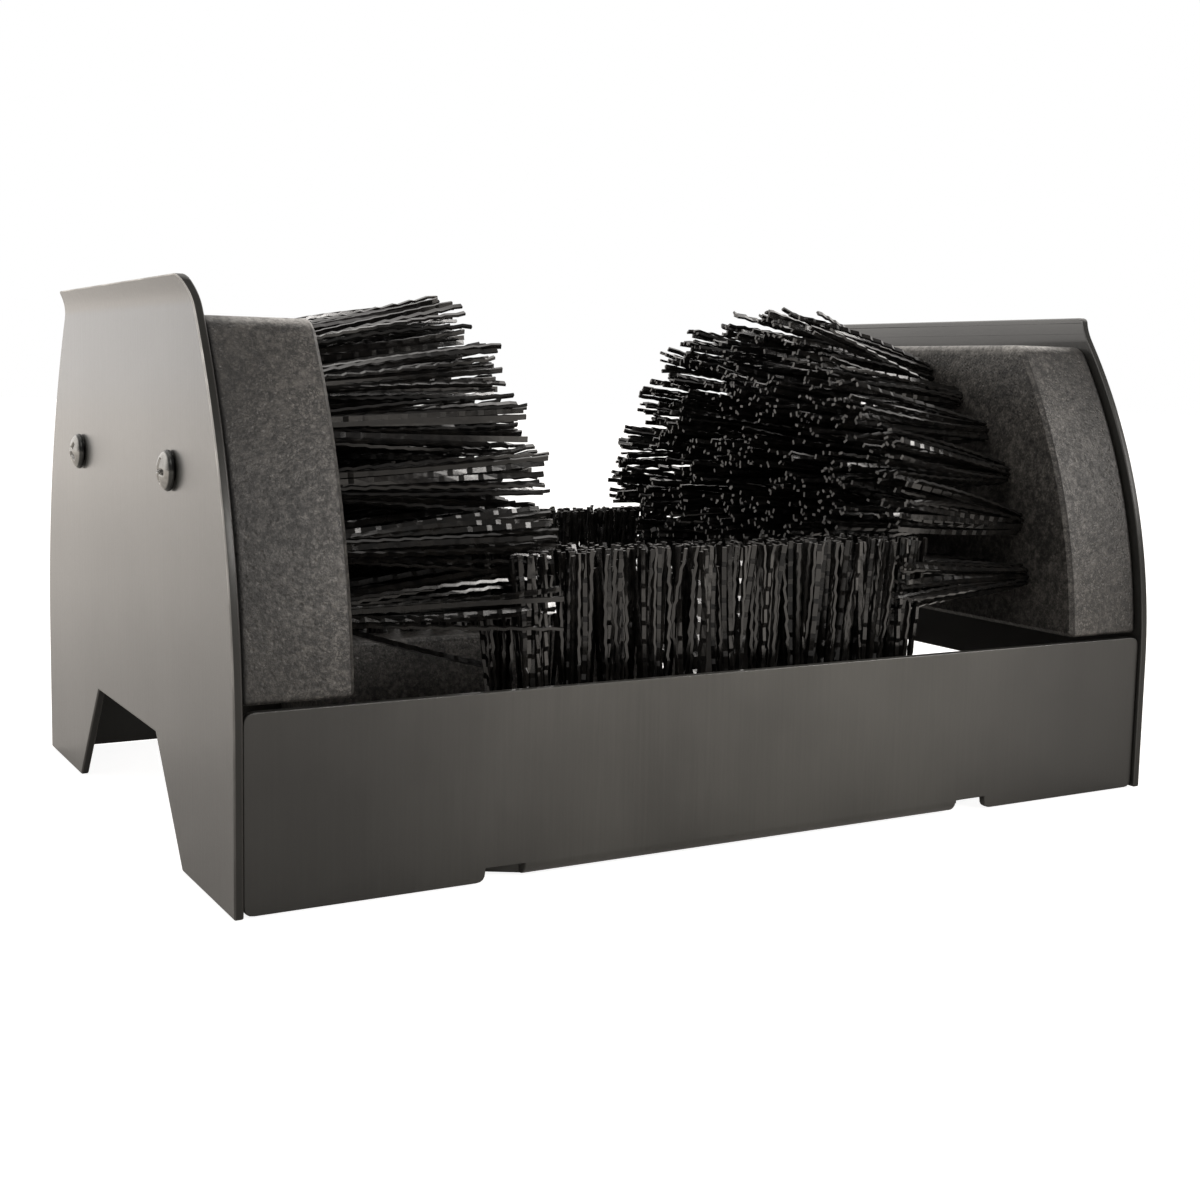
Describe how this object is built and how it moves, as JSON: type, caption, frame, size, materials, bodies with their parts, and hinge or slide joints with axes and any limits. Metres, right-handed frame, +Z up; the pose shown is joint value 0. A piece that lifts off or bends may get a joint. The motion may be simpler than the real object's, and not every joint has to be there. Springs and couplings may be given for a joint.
{
  "type": "boot scraper",
  "caption": "Boot scraper with a black sheet-steel frame, bristle brushes facing each other from both end plates, and upright brushes along the front and rear of the open base.",
  "frame": {"origin": "on the floor, under the middle of the scraper", "axes": "+X runs to the right from end plate to end plate, +Y from front to rear, +Z up"},
  "size_m": [0.2966, 0.195, 0.146],
  "materials": {
    "coated_steel": "satin",
    "weld": "satin",
    "block": "matte",
    "bristle": "gloss",
    "screw": "satin"
  },
  "bodies": {
    "root": {"base_channel": "coated_steel", "left_end_plate": "coated_steel", "right_end_plate": "coated_steel", "left_front_weld": "weld", "left_rear_weld": "weld", "right_front_weld": "weld", "right_rear_weld": "weld", "left_brush_block": "block", "right_brush_block": "block", "front_floor_brush_block": "block", "rear_floor_brush_block": "block", "left_brush_bristles": "bristle", "right_brush_bristles": "bristle", "front_floor_brush_bristles": "bristle", "rear_floor_brush_bristles": "bristle", "left_front_screw": "screw", "left_rear_screw": "screw", "right_front_screw": "screw", "right_rear_screw": "screw", "front_left_floor_screw": "screw", "front_right_floor_screw": "screw", "rear_left_floor_screw": "screw", "rear_right_floor_screw": "screw"}
  },
  "joints": []
}
